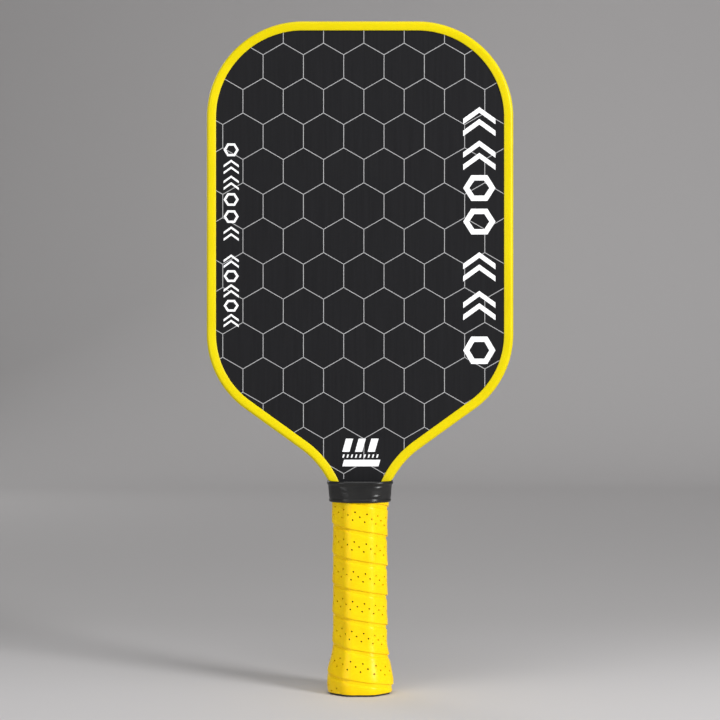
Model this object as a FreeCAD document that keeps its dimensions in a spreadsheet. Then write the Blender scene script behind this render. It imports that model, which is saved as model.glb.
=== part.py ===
import FreeCAD, Part
import math
import os
import Sketcher

# Pickleball paddle standing on its butt. Millimetres, +Z up the handle, front face towards -Y,
# origin at the middle of the butt's flat underside.

SIZES = {
    # Outline of the edge guard, which is also the outline of the whole paddle.
    "paddleLength": 418.0,
    "paddleWidth": 191.0,
    "cornerRadius": 60.0,
    "shoulderRadius": 57.2,
    "shoulderHeight": 223.5,
    "throatRadius": 54.5,
    "throatHeight": 107.7,
    "throatHalf": 14.2,
    # Edge guard, a C section clipped over the rim of the blade on a strip of tape.
    "guardWeb": 1.4,
    "guardLipReach": 4.2,
    "guardLipThickness": 1.2,
    "guardRound": 3.0,
    "guardEnd": 124.1,
    "guardTailHalf": 18.85,
    "guardTailTop": 132.95,
    "edgeTape": 0.2,
    # Blade sandwich: a honeycomb core with a foam rim between two carbon skins.
    "bladeThickness": 16.0,
    "skinThickness": 0.6,
    "bladeBottom": 8.0,
    "rimFoamWidth": 5.0,
    "cellWidth": 16.0,
    "cellWall": 0.8,
    "smallestCellArea": 12.0,
    # Handle pallets, the two half octagons on either side of the blade's tongue.
    "palletHalfWidth": 15.0,
    "palletHalfDepth": 13.25,
    "palletChamfer": 8.25,
    "palletBottom": 3.0,
    "palletShoulder": 123.8,
    "palletWallTop": 116.0,
    "palletTop": 131.5,
    "palletCrownHalf": 10.4,
    "palletRamp": 4.0,
    "palletGap": 0.05,
    # Layers wound on the handle, as growth outwards from the bare pallets.
    "cushionThickness": 1.0,
    "wrapThickness": 0.85,
    "cushionTop": 116.0,
    "wrapTop": 123.6,
    "wrapSlopeStart": 104.0,
    "wrapSlopeEnd": 117.0,
    "wrapTopGrowth": 2.8,
    # Flare at the butt, given on the outside of the grip wrap.
    "flareFoot": 1.4,
    "flareFootGrowth": 4.6,
    "flareWidest": 8.2,
    "flareWidestGrowth": 5.5,
    "flareWaist": 14.4,
    "flareWaistGrowth": 4.6,
    "flareNeck": 27.0,
    "flareNeckGrowth": 2.25,
    "flareTop": 33.0,
    # Butt cap, its badge and its staples.
    "capFootGrowth": 3.5,
    "capFootRound": 0.6,
    "capFit": 0.05,
    "badgeLong": 11.0,
    "badgeShort": 8.5,
    "badgeThickness": 0.6,
    "badgeRecess": 0.9,
    "badgeGap": 0.3,
    "stapleCrown": 9.0,
    "stapleWire": 1.0,
    "stapleLeg": 4.6,
    "stapleLow": 12.5,
    "stapleHigh": 21.0,
    "stapleLowDepth": 16.0,
    "stapleHighDepth": 14.5,
    # Finishing tape round the top of the wrap.
    "finishTapeBottom": 119.4,
    "finishTapeThickness": 0.15,
    # How far a cutting shape runs on past the piece that it cuts.
    "cutMargin": 5.0,
    # Rubber collar, a loose sleeve that slides down the grip.
    "collarBottom": 118.0,
    "collarBottomEdge": 119.6,
    "collarTopEdge": 130.8,
    "collarTop": 132.6,
    "collarHalfDepth": 17.7,
    "collarHalfLow": 19.45,
    "collarHalfHigh": 20.6,
    "collarChamferLow": 10.85,
    "collarChamferHigh": 7.9,
    "collarEdgeRound": 0.5,
    "collarTopRound": 0.2,
    "collarBoreDepth": 16.5,
    "collarBoreLow": 18.25,
    "collarBoreHigh": 19.4,
    "collarBoreChamferLow": 10.15,
    "collarBoreChamferHigh": 7.2,
}

# An octagon whose sides all move out by one length lengthens its 45 degree chamfer by this factor.
CHAMFER_GROWTH = 2.0 - math.sqrt(2.0)

# How a sketch numbers its own origin and axes, and the two ends and the middle of a curve.
ORIGIN, HORIZONTAL_AXIS, VERTICAL_AXIS = -1, -1, -2
START, END, CENTRE = 1, 2, 3

# How close an edge has to lie to a plane to count as being in it.
NEAR = 0.01

doc = FreeCAD.newDocument("pickleball_paddle")
sheet = doc.addObject("Spreadsheet::Sheet", "Sizes")
for row, (alias, number) in enumerate(SIZES.items(), start=1):
    sheet.set(f"A{row}", alias)
    sheet.set(f"B{row}", str(number))
    sheet.setAlias(f"B{row}", alias)
doc.recompute()

subParts = []


def sized(text):
    """Write an expression with each size's name turned into a reference to the sheet."""
    words = text.replace("(", " ( ").replace(")", " ) ").split()
    return " ".join(f"Sizes.{word}" if word in SIZES else word for word in words)


def value(text):
    return float(sheet.evalExpression(sized(text)))


def newBody(name, isSubPart=True):
    body = doc.addObject("PartDesign::Body", name)
    body.Label = name
    if isSubPart:
        subParts.append(body)
    return body


def newSketch(body, name, role, offset="0"):
    """Make a sketch on one of the body's own origin planes, moved along the plane's normal."""
    sketch = body.newObject("Sketcher::SketchObject", f"{body.Name}_{name}")
    plane = [feature for feature in body.Origin.OriginFeatures if feature.Role == role][0]
    sketch.AttachmentSupport = (plane, [""])
    sketch.MapMode = "FlatFace"
    sketch.setExpression(".AttachmentOffset.Base.z", sized(offset))
    return sketch


def addLines(sketch, corners):
    """Close a ring of straight lines through the corners and return the lines' numbers."""
    ring = [FreeCAD.Vector(x, y, 0) for x, y in corners]
    lines = []
    for first, second in zip(ring, ring[1:] + ring[:1]):
        lines.append(sketch.addGeometry(Part.LineSegment(first, second)))
    for line, following in zip(lines, lines[1:] + lines[:1]):
        constrain(sketch, "Coincident", line, END, following, START)
    return lines


def constrain(sketch, kind, *places):
    return sketch.addConstraint(Sketcher.Constraint(kind, *places))


def dimension(sketch, name, kind, places, expression):
    number = constrain(sketch, kind, *places, value(expression))
    sketch.renameConstraint(number, name)
    sketch.setExpression(f".Constraints.{name}", sized(expression))


def rectangle(sketch, left, right, bottom, top):
    """Draw a rectangle whose four sides are bound to expressions."""
    west, east, south, north = (value(side) for side in (left, right, bottom, top))
    lines = addLines(sketch, [(west, south), (east, south), (east, north), (west, north)])
    for index, kind in enumerate(("Horizontal", "Vertical", "Horizontal", "Vertical")):
        constrain(sketch, kind, lines[index])
    corners = (("left", "DistanceX", lines[0], left), ("bottom", "DistanceY", lines[0], bottom),
               ("right", "DistanceX", lines[2], right), ("top", "DistanceY", lines[2], top))
    for name, kind, line, expression in corners:
        dimension(sketch, name, kind, (ORIGIN, START, line, START), expression)


def octagon(sketch, halfWidth, halfDepth, chamfer):
    """Draw an octagon about the sketch's origin, with 45 degree chamfers."""
    wide, deep, cut = value(halfWidth), value(halfDepth), value(chamfer)
    flat, side = wide - cut, deep - cut
    lines = addLines(sketch, [(-flat, deep), (flat, deep), (wide, side), (wide, -side),
                              (flat, -deep), (-flat, -deep), (-wide, -side), (-wide, side)])
    constrain(sketch, "Symmetric", lines[0], START, lines[0], END, VERTICAL_AXIS)
    constrain(sketch, "Symmetric", lines[4], START, lines[4], END, VERTICAL_AXIS)
    constrain(sketch, "Symmetric", lines[2], START, lines[2], END, HORIZONTAL_AXIS)
    constrain(sketch, "Symmetric", lines[6], START, lines[6], END, HORIZONTAL_AXIS)
    constrain(sketch, "Symmetric", lines[0], START, lines[4], START, ORIGIN, START)
    constrain(sketch, "Symmetric", lines[2], START, lines[6], START, ORIGIN, START)
    dimension(sketch, "halfWidth", "DistanceX", (ORIGIN, START, lines[2], START), halfWidth)
    dimension(sketch, "halfDepth", "DistanceY", (ORIGIN, START, lines[0], END), halfDepth)
    dimension(sketch, "flatHalf", "DistanceX", (ORIGIN, START, lines[0], END),
              f"{halfWidth} - ( {chamfer} )")
    dimension(sketch, "sideHalf", "DistanceY", (ORIGIN, START, lines[2], START),
              f"{halfDepth} - ( {chamfer} )")


def handleOctagon(body, name, height, growth):
    """Draw the pallets' octagon grown outwards by one length, at one height up the handle."""
    sketch = newSketch(body, name, "XY_Plane", height)
    octagon(sketch, f"palletHalfWidth + ( {growth} )", f"palletHalfDepth + ( {growth} )",
            f"palletChamfer + ( {growth} ) * {CHAMFER_GROWTH:.6f}")
    return sketch


def outlineSketch(body, name, inset, bottom, offset="0"):
    """Draw the paddle's outline moved inwards by inset and run down the tongue to bottom.

    Each side is a corner arc, a straight side, a shoulder arc, a straight taper and a throat arc
    that turns back to run straight down the handle.
    """
    sketch = newSketch(body, name, "XZ_Plane", offset)
    corner = value(f"cornerRadius - ( {inset} )")
    shoulder = value(f"shoulderRadius - ( {inset} )")
    throat = value(f"throatRadius + ( {inset} )")
    wide = value(f"paddleWidth / 2 - ( {inset} )")
    tongue = value(f"throatHalf - ( {inset} )")
    cornerZ = value("paddleLength - cornerRadius")
    shoulderZ = value("shoulderHeight")
    throatZ = value("throatHeight")
    low = value(bottom)
    cornerX, shoulderX, throatX = wide - corner, wide - shoulder, tongue + throat
    # The taper is the line that crosses between the shoulder's circle and the throat's.
    across, down = throatX - shoulderX, shoulderZ - throatZ
    lean = math.acos((shoulder + throat) / math.hypot(across, down)) - math.atan2(down, across)
    arcs = {
        "corner": (cornerX, cornerZ, corner, 0.0, math.pi / 2),
        "shoulder": (shoulderX, shoulderZ, shoulder, lean, 0.0),
        "throat": (throatX, throatZ, throat, math.pi + lean, math.pi),
    }
    taperTop = (shoulderX + shoulder * math.cos(lean), shoulderZ + shoulder * math.sin(lean))
    taperLow = (throatX - throat * math.cos(lean), throatZ - throat * math.sin(lean))
    lines = {
        "side": ((wide, cornerZ), (wide, shoulderZ)),
        "taper": (taperTop, taperLow),
        "tongue": ((tongue, throatZ), (tongue, low)),
    }
    upper = {"corner": END, "side": START, "shoulder": END, "taper": START, "throat": START,
             "tongue": START}

    def addLine(first, second):
        return sketch.addGeometry(Part.LineSegment(FreeCAD.Vector(*first, 0),
                                                   FreeCAD.Vector(*second, 0)))

    def addSide(side):
        pieces = {}
        for piece, (centreX, centreZ, radius, fromAngle, toAngle) in arcs.items():
            if side < 0:
                fromAngle, toAngle = math.pi - toAngle, math.pi - fromAngle
            centre = FreeCAD.Vector(side * centreX, centreZ, 0)
            circle = Part.Circle(centre, FreeCAD.Vector(0, 0, 1), radius)
            pieces[piece] = sketch.addGeometry(Part.ArcOfCircle(circle, fromAngle, toAngle))
        for piece, ends in lines.items():
            pieces[piece] = addLine(*[(side * x, z) for x, z in ends])
        return pieces

    def upperEnd(piece, side):
        """An arc on the left side runs the other way round from its mirror on the right."""
        return END + START - upper[piece] if side < 0 and piece in arcs else upper[piece]

    def lowerEnd(piece, side):
        return END + START - upperEnd(piece, side)

    topLine = addLine((-cornerX, cornerZ + corner), (cornerX, cornerZ + corner))
    right, left = addSide(1), addSide(-1)
    bottomLine = addLine((tongue, low), (-tongue, low))
    chain = list(upper)
    for side, pieces, joint, topEnd, bottomEnd in ((1, right, "Tangent", END, START),
                                                   (-1, left, "Coincident", START, END)):
        constrain(sketch, joint, topLine, topEnd, pieces["corner"], upperEnd("corner", side))
        for above, below in zip(chain, chain[1:]):
            constrain(sketch, joint, pieces[above], lowerEnd(above, side),
                      pieces[below], upperEnd(below, side))
        constrain(sketch, "Coincident", pieces["tongue"], END, bottomLine, bottomEnd)
    constrain(sketch, "Vertical", right["side"])
    constrain(sketch, "Vertical", right["tongue"])
    constrain(sketch, "Symmetric", topLine, START, topLine, END, VERTICAL_AXIS)
    constrain(sketch, "Symmetric", bottomLine, START, bottomLine, END, VERTICAL_AXIS)
    for piece in ("side", "taper"):
        for end in (START, END):
            constrain(sketch, "Symmetric", right[piece], end, left[piece], end, VERTICAL_AXIS)
    constrain(sketch, "Symmetric", right["tongue"], START, left["tongue"], START, VERTICAL_AXIS)
    for piece in arcs:
        constrain(sketch, "Equal", right[piece], left[piece])

    def place(name, kind, piece, expression):
        dimension(sketch, name, kind, (ORIGIN, START, piece, START), expression)

    place("halfWidth", "DistanceX", right["side"], f"paddleWidth / 2 - ( {inset} )")
    place("top", "DistanceY", topLine, f"paddleLength - ( {inset} )")
    place("tongueHalf", "DistanceX", right["tongue"], f"throatHalf - ( {inset} )")
    place("throatZ", "DistanceY", right["tongue"], "throatHeight")
    place("bottom", "DistanceY", bottomLine, bottom)
    dimension(sketch, "shoulderZ", "DistanceY", (ORIGIN, START, right["side"], END), "shoulderHeight")
    dimension(sketch, "cornerR", "Radius", (right["corner"],), f"cornerRadius - ( {inset} )")
    dimension(sketch, "shoulderR", "Radius", (right["shoulder"],), f"shoulderRadius - ( {inset} )")
    dimension(sketch, "throatR", "Radius", (right["throat"],), f"throatRadius + ( {inset} )")
    return sketch


def pad(body, sketch, length, symmetric=False):
    feature = body.newObject("PartDesign::Pad", f"{sketch.Name}_pad")
    feature.Profile = (sketch, [""])
    feature.setExpression("Length", sized(length))
    feature.SideType = "Symmetric" if symmetric else "One side"
    return feature


def pocket(body, sketch, length, symmetric=False, reverse=False):
    feature = body.newObject("PartDesign::Pocket", f"{sketch.Name}_pocket")
    feature.Profile = (sketch, [""])
    feature.setExpression("Length", sized(length))
    feature.SideType = "Symmetric" if symmetric else "One side"
    feature.Reversed = reverse
    return feature


def loft(body, sketches, kind="PartDesign::AdditiveLoft"):
    feature = body.newObject(kind, f"{sketches[-1].Name}_loft")
    feature.Profile = (sketches[0], [""])
    feature.Sections = [(sketch, [""]) for sketch in sketches[1:]]
    feature.Ruled = True
    return feature


def dressEdges(body, kind, sizeName, expression, wanted):
    """Round or chamfer those edges of the body so far whose bounding box is wanted."""
    doc.recompute()
    base = body.Tip
    names = [f"Edge{index}" for index, edge in enumerate(base.Shape.Edges, start=1)
             if wanted(edge.BoundBox)]
    feature = body.newObject(kind, f"{body.Name}_edges_{len(body.Group)}")
    feature.Base = (base, names)
    feature.setExpression(sizeName, sized(expression))
    return feature


BLADE_INSET = "guardWeb + edgeTape"
CORE_INSET = "guardWeb + edgeTape + rimFoamWidth"
CORE_THICKNESS = "bladeThickness - 2 * skinThickness"


def addSkin(name, offset):
    """One carbon face sheet, cut to the blade's outline with its tongue in the handle."""
    body = newBody(name)
    outline = outlineSketch(body, "outline", BLADE_INSET, "bladeBottom", offset)
    pad(body, outline, "skinThickness")


def addRimFoam():
    """The band of foam that closes the core's cut edge, as thick as the core."""
    body = newBody("perimeter_foam")
    rim = outlineSketch(body, "rim", BLADE_INSET, "bladeBottom")
    pad(body, rim, CORE_THICKNESS, symmetric=True)
    inside = outlineSketch(body, "inside", CORE_INSET, "bladeBottom - rimFoamWidth")
    pocket(body, inside, CORE_THICKNESS, symmetric=True)


def addHoneycomb():
    """A slab of hexagonal cells that open towards both skins, clipped inside a rim of its own."""
    slab = newBody("honeycomb_outlines", isSubPart=False)
    rim = outlineSketch(slab, "rim", CORE_INSET, "bladeBottom")
    clip = outlineSketch(slab, "clip", f"{CORE_INSET} + cellWall", "bladeBottom + cellWall")
    doc.recompute()
    rimWire, clipWire = rim.Shape.Wires[0], clip.Shape.Wires[0]
    clipFace = Part.Face(clipWire)
    pitch, thickness = value("cellWidth"), value(CORE_THICKNESS)
    cornerRadius = value("cellWidth - cellWall") / math.sqrt(3)
    rowPitch = pitch * math.sqrt(3) / 2
    limits = clipFace.BoundBox
    holes = []
    for row in range(math.ceil((limits.ZMax - limits.ZMin) / rowPitch) + 1):
        rowHeight = limits.ZMin + row * rowPitch
        shift = pitch / 2 if row % 2 else 0.0
        columns = math.ceil(limits.XMax / pitch) + 1
        for column in range(-columns, columns + 1):
            ring = []
            for corner in range(7):
                angle = math.radians(60 * corner)
                ring.append(FreeCAD.Vector(column * pitch + shift + cornerRadius * math.sin(angle), 0,
                                           rowHeight + cornerRadius * math.cos(angle)))
            clipped = Part.Face(Part.makePolygon(ring)).common(clipFace)
            holes += [face.OuterWire for face in clipped.Faces if face.Area > value("smallestCellArea")]
    face = Part.makeFace([rimWire] + holes, "Part::FaceMakerBullseye")
    honeycomb = doc.addObject("Part::Feature", "honeycomb_core")
    honeycomb.Label = "honeycomb_core"
    shape = face.extrude(FreeCAD.Vector(0, thickness, 0))
    shape.translate(FreeCAD.Vector(0, -thickness / 2, 0))
    honeycomb.Shape = shape
    subParts.append(honeycomb)


def addEdgeGuard():
    """The moulded rim guard, whose two ends are slimmed to pass inside the collar."""
    body = newBody("edge_guard")
    overall = "bladeThickness + 2 * guardLipThickness"
    rim = outlineSketch(body, "rim", "0", "throatHeight - cutMargin")
    pad(body, rim, overall, symmetric=True)
    crest = value("paddleLength") - NEAR
    dressEdges(body, "PartDesign::Fillet", "Radius", "guardRound", lambda box: box.ZMin > crest)
    window = outlineSketch(body, "window", f"{BLADE_INSET} + guardLipReach", "throatHeight - 2 * cutMargin")
    pocket(body, window, f"{overall} + cutMargin", symmetric=True)
    channel = outlineSketch(body, "channel", "guardWeb", "throatHeight - 2 * cutMargin")
    pocket(body, channel, "bladeThickness", symmetric=True)
    cutOff = newSketch(body, "cut_off", "XZ_Plane")
    rectangle(cutOff, "-2 * throatHalf", "2 * throatHalf", "throatHeight - 2 * cutMargin", "guardEnd")
    pocket(body, cutOff, f"{overall} + cutMargin", symmetric=True)
    for side, inner, outer in (("right", "guardTailHalf", "guardTailHalf + cutMargin"),
                               ("left", "-1 * guardTailHalf - cutMargin", "-1 * guardTailHalf")):
        tail = newSketch(body, f"{side}_tail", "XZ_Plane")
        rectangle(tail, inner, outer, "guardEnd", "guardTailTop")
        pocket(body, tail, f"{overall} + cutMargin", symmetric=True)


def addEdgeTape():
    """The strip of double-sided tape between the blade's rim and the guard's web."""
    body = newBody("edge_tape")
    strip = outlineSketch(body, "strip", "guardWeb", "throatHeight - cutMargin")
    pad(body, strip, "bladeThickness", symmetric=True)
    blade = outlineSketch(body, "blade", BLADE_INSET, "throatHeight - 2 * cutMargin")
    pocket(body, blade, "bladeThickness", symmetric=True)
    cutOff = newSketch(body, "cut_off", "XZ_Plane")
    rectangle(cutOff, "-2 * throatHalf", "2 * throatHalf", "throatHeight - 2 * cutMargin", "guardEnd")
    pocket(body, cutOff, "bladeThickness", symmetric=True)


def addPallet(name, side):
    """Half of the handle's octagon, hollowed for the blade's tongue, with a crown on the face.

    side is -1 for the front pallet and 1 for the rear one. The crown is the narrow top that runs
    on between the guard's ends and ramps down to the face.
    """
    body = newBody(name)
    full = handleOctagon(body, "octagon", "palletBottom", "0")
    pad(body, full, "palletTop - palletBottom")
    other = newSketch(body, "other_half", "XY_Plane", "palletBottom")
    faces = ("0", "palletHalfDepth + cutMargin") if side < 0 else ("-1 * palletHalfDepth - cutMargin", "0")
    rectangle(other, "-1 * palletHalfWidth - cutMargin", "palletHalfWidth + cutMargin", *faces)
    pocket(body, other, "palletTop", reverse=True)
    for word, left, right in (("right", "palletCrownHalf", "palletHalfWidth + cutMargin"),
                              ("left", "-1 * palletHalfWidth - cutMargin", "-1 * palletCrownHalf")):
        shoulder = newSketch(body, f"{word}_shoulder", "XZ_Plane")
        rectangle(shoulder, left, right, "palletShoulder", "palletTop + cutMargin")
        pocket(body, shoulder, "4 * palletHalfDepth", symmetric=True)
    tongueSpace(body)
    walls = newSketch(body, "walls", "XZ_Plane")
    rectangle(walls, "-1 * palletHalfWidth - cutMargin", "palletHalfWidth + cutMargin",
              "palletWallTop", "palletTop + cutMargin")
    pocket(body, walls, "bladeThickness", symmetric=True)
    top, outside = value("palletTop") - NEAR, side * value("palletHalfDepth")
    dressEdges(body, "PartDesign::Chamfer", "Size", "palletRamp",
               lambda box: box.ZMin > top and abs(box.YMin - outside) + abs(box.YMax - outside) < NEAR)


def tongueSpace(body):
    """Cut the room for the blade's tongue, whose four long edges stand out of the octagon."""
    tongue = outlineSketch(body, "tongue", f"{BLADE_INSET} - palletGap", "bladeBottom - palletGap")
    pocket(body, tongue, "bladeThickness", symmetric=True)


def addButtCap():
    """A flared cup that closes the handle's end and stands on a slightly smaller foot."""
    body = newBody("butt_cap")
    layers = "wrapThickness + cushionThickness"
    foot = handleOctagon(body, "foot", "0", "capFootGrowth")
    pad(body, foot, "flareFoot")
    dressEdges(body, "PartDesign::Fillet", "Radius", "capFootRound", lambda box: box.ZMax < NEAR)
    stations = (("low", "flareFoot"), ("wide", "flareWidest"), ("waist", "flareWaist"),
                ("neck", "flareNeck"))
    growths = ("flareFootGrowth", "flareWidestGrowth", "flareWaistGrowth", "flareNeckGrowth")
    loft(body, [handleOctagon(body, name, height, f"{growth} - ( {layers} )")
                for (name, height), growth in zip(stations, growths)])
    bore = handleOctagon(body, "bore", "palletBottom", "capFit")
    pocket(body, bore, "flareNeck", reverse=True)
    tongueSpace(body)
    recess = newSketch(body, "badge_recess", "XY_Plane")
    ellipse(recess, "badgeLong + badgeGap", "badgeShort + badgeGap")
    pocket(body, recess, "badgeRecess", reverse=True)
    for name, height, depth in STAPLES:
        for side in (-1, 1):
            slot = newSketch(body, f"{name}_slot_{'front' if side < 0 else 'rear'}", "XY_Plane", height)
            inner, outer = f"{depth} - stapleWire", "palletHalfWidth + flareWidestGrowth"
            depths = (f"-1 * ( {outer} )", f"-1 * ( {inner} )") if side < 0 else (inner, outer)
            rectangle(slot, "-1 * stapleCrown / 2", "stapleCrown / 2", *depths)
            pocket(body, slot, "stapleWire", reverse=True)


def ellipse(sketch, halfLong, halfShort):
    """Draw an ellipse about the sketch's origin with its long axis across."""
    longWay, shortWay = value(halfLong), value(halfShort)
    curve = Part.Ellipse(FreeCAD.Vector(0, 0, 0), longWay, shortWay)
    oval = sketch.addGeometry(curve)
    major = sketch.addGeometry(Part.LineSegment(FreeCAD.Vector(-longWay, 0, 0),
                                                FreeCAD.Vector(longWay, 0, 0)), True)
    minor = sketch.addGeometry(Part.LineSegment(FreeCAD.Vector(0, -shortWay, 0),
                                                FreeCAD.Vector(0, shortWay, 0)), True)
    constrain(sketch, "InternalAlignment:EllipseMajorDiameter", major, oval)
    constrain(sketch, "InternalAlignment:EllipseMinorDiameter", minor, oval)
    constrain(sketch, "Coincident", oval, CENTRE, ORIGIN, START)
    constrain(sketch, "Horizontal", major)
    dimension(sketch, "long", "DistanceX", (major, START, major, END), f"2 * ( {halfLong} )")
    dimension(sketch, "short", "DistanceY", (minor, START, minor, END), f"2 * ( {halfShort} )")


def addBadge():
    """A blank oval badge stuck in the shallow recess under the butt cap."""
    body = newBody("butt_badge")
    oval = newSketch(body, "oval", "XY_Plane", "badgeRecess - badgeThickness")
    ellipse(oval, "badgeLong", "badgeShort")
    pad(body, oval, "badgeThickness")


STAPLES = (("low", "stapleLow", "stapleLowDepth"), ("high", "stapleHigh", "stapleHighDepth"))


def addStaples():
    """Four wire staples, two at the front and two at the rear, driven through the cap's wall."""
    wires = []
    for name, height, depth in STAPLES:
        for side, word in ((-1, "front"), (1, "rear")):
            crown = ("stapleCrown", "stapleWire", "-1 * stapleCrown / 2", "0")
            legs = [("stapleWire", "stapleLeg", x, "stapleWire")
                    for x in ("-1 * stapleCrown / 2", "stapleCrown / 2 - stapleWire")]
            pieces = []
            for index, (length, width, x, inwards) in enumerate([crown] + legs):
                box = doc.addObject("Part::Box", f"staple_{name}_{word}_{index}")
                box.setExpression("Length", sized(length))
                box.setExpression("Width", sized(width))
                box.setExpression("Height", sized("stapleWire"))
                box.setExpression(".Placement.Base.x", sized(x))
                y = f"{depth} - {inwards} - {width}" if side > 0 else f"{inwards} - {depth}"
                box.setExpression(".Placement.Base.y", sized(y))
                box.setExpression(".Placement.Base.z", sized(height))
                pieces.append(box)
            staple = doc.addObject("Part::MultiFuse", f"staple_{name}_{word}")
            staple.Shapes = pieces
            staple.Refine = True
            wires.append(staple)
    group = doc.addObject("Part::Compound", "butt_staples")
    group.Links = wires
    group.Label = "butt_staples"
    subParts.append(group)


def addCushion():
    """The foam backing of the grip, wound from the cap's foot to just under the collar."""
    body = newBody("grip_cushion")
    stations = (("foot", "flareFoot", "flareFootGrowth"), ("wide", "flareWidest", "flareWidestGrowth"),
                ("waist", "flareWaist", "flareWaistGrowth"), ("neck", "flareNeck", "flareNeckGrowth"),
                ("straight", "flareTop", "cushionThickness + wrapThickness"),
                ("top", "cushionTop", "cushionThickness + wrapThickness"))
    loft(body, [handleOctagon(body, name, height, f"{growth} - wrapThickness")
                for name, height, growth in stations])
    loft(body, [handleOctagon(body, f"{name}_bore", height,
                              f"{growth} - wrapThickness - cushionThickness")
                for name, height, growth in stations], "PartDesign::SubtractiveLoft")
    tongueSpace(body)


def addWrap():
    """The grip's outer strip, closed up into a sleeve that thickens where its end is lapped."""
    body = newBody("grip_wrap")
    flare = (("foot", "flareFoot", "flareFootGrowth"), ("wide", "flareWidest", "flareWidestGrowth"),
             ("waist", "flareWaist", "flareWaistGrowth"), ("neck", "flareNeck", "flareNeckGrowth"))
    layers = "cushionThickness + wrapThickness"
    outside = flare + (("straight", "flareTop", layers), ("slope", "wrapSlopeStart", layers),
                       ("lap", "wrapSlopeEnd", "wrapTopGrowth"), ("top", "wrapTop", "wrapTopGrowth"))
    inside = flare + (("straight", "flareTop", layers), ("top", "wrapTop", layers))
    loft(body, [handleOctagon(body, name, height, growth) for name, height, growth in outside])
    loft(body, [handleOctagon(body, f"{name}_bore", height, f"{growth} - wrapThickness")
                for name, height, growth in inside], "PartDesign::SubtractiveLoft")
    tongueSpace(body)


def addFinishingTape():
    """The band of tape that holds down the wrap's top end, hidden under the collar."""
    body = newBody("finishing_tape")
    band = handleOctagon(body, "band", "finishTapeBottom", "wrapTopGrowth + finishTapeThickness")
    pad(body, band, "wrapTop - finishTapeBottom")
    bore = handleOctagon(body, "bore", "finishTapeBottom", "wrapTopGrowth")
    pocket(body, bore, "wrapTop - finishTapeBottom", reverse=True)


def addCollar():
    """A rubber sleeve, widest at the top, that covers the tape and the guard's ends."""
    body = newBody("collar")

    def ring(name, height, halfWidth, halfDepth, chamfer):
        sketch = newSketch(body, name, "XY_Plane", height)
        octagon(sketch, halfWidth, halfDepth, chamfer)
        return sketch

    loft(body, [
        ring("bottom", "collarBottom", "collarHalfLow - collarEdgeRound",
             "collarHalfDepth - collarEdgeRound", "collarChamferLow"),
        ring("low", "collarBottomEdge", "collarHalfLow", "collarHalfDepth", "collarChamferLow"),
        ring("high", "collarTopEdge", "collarHalfHigh", "collarHalfDepth", "collarChamferHigh"),
        ring("top", "collarTop", "collarHalfHigh - collarTopRound",
             "collarHalfDepth - collarTopRound", "collarChamferHigh"),
    ])
    loft(body, [
        ring("bore_bottom", "collarBottom", "collarBoreLow", "collarBoreDepth", "collarBoreChamferLow"),
        ring("bore_top", "collarTop", "collarBoreHigh", "collarBoreDepth", "collarBoreChamferHigh"),
    ], "PartDesign::SubtractiveLoft")


def checkDocument():
    """Stop at any object that failed, or any sub-part without a sound shape."""
    for item in doc.Objects:
        if {"Invalid", "Error"} & set(item.State):
            raise RuntimeError(f"{item.Name} failed: {item.State}")
    for subPart in subParts:
        shape = subPart.Shape
        if shape.isNull() or not shape.isValid() or not shape.Solids:
            raise RuntimeError(f"{subPart.Label} has no sound shape")
        print(f"{subPart.Label}: {shape.Volume / 1000:.2f} cm3 in {len(shape.Solids)} solid(s)")


addHoneycomb()
addRimFoam()
addSkin("front_skin", "bladeThickness / 2 - skinThickness")
addSkin("rear_skin", "-1 * bladeThickness / 2")
addEdgeGuard()
addEdgeTape()
addPallet("front_pallet", -1)
addPallet("rear_pallet", 1)
addButtCap()
addBadge()
addStaples()
addCushion()
addWrap()
addFinishingTape()
addCollar()
doc.recompute()
checkDocument()
os.makedirs("parts", exist_ok=True)
for subPart in subParts:
    subPart.Shape.exportStep(f"parts/{subPart.Label}.step")
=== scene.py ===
import math

import bpy
import bmesh
import numpy
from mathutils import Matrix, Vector
from mathutils.geometry import delaunay_2d_cdt


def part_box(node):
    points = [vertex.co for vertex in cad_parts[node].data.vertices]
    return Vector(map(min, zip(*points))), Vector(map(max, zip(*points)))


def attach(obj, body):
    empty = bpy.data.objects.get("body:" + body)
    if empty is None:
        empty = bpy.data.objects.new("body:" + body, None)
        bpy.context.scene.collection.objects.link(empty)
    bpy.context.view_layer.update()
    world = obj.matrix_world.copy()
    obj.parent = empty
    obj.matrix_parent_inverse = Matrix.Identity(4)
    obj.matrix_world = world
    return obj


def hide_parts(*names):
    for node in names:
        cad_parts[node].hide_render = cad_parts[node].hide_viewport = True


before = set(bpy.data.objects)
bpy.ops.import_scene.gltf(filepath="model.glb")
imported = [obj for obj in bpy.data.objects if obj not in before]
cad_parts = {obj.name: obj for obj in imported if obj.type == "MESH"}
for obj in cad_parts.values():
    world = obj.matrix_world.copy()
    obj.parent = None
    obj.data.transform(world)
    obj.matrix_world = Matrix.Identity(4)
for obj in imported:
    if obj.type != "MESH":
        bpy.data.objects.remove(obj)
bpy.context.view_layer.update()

mm = 0.001
weldGap = 0.005 * mm      # points closer than this become one
scene = bpy.context.scene

# The blade's outline in millimetres, measured on the outside of the edge guard. Its width, height
# and thickness come from the frame.
outline = {
    "cornerRadius": 60.0,
    "shoulderRadius": 57.2,
    "shoulderHeight": 223.5,
    "throatRadius": 54.5,
    "throatHeight": 107.7,
    "throatHalf": 14.2,
    "halfWidth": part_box("edge_guard")[1][0] / mm,
    "top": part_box("edge_guard")[1][2] / mm,
}
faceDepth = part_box("rear_skin")[1][1] / mm      # from the middle of the blade to either face
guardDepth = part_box("edge_guard")[1][1] / mm

# The handle's octagon under the grip, with the corner rounding that a wound grip gives it.
handle = {"halfWidth": 15.0, "halfDepth": 13.25, "chamfer": 8.25, "cornerRound": 5.8}


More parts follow.
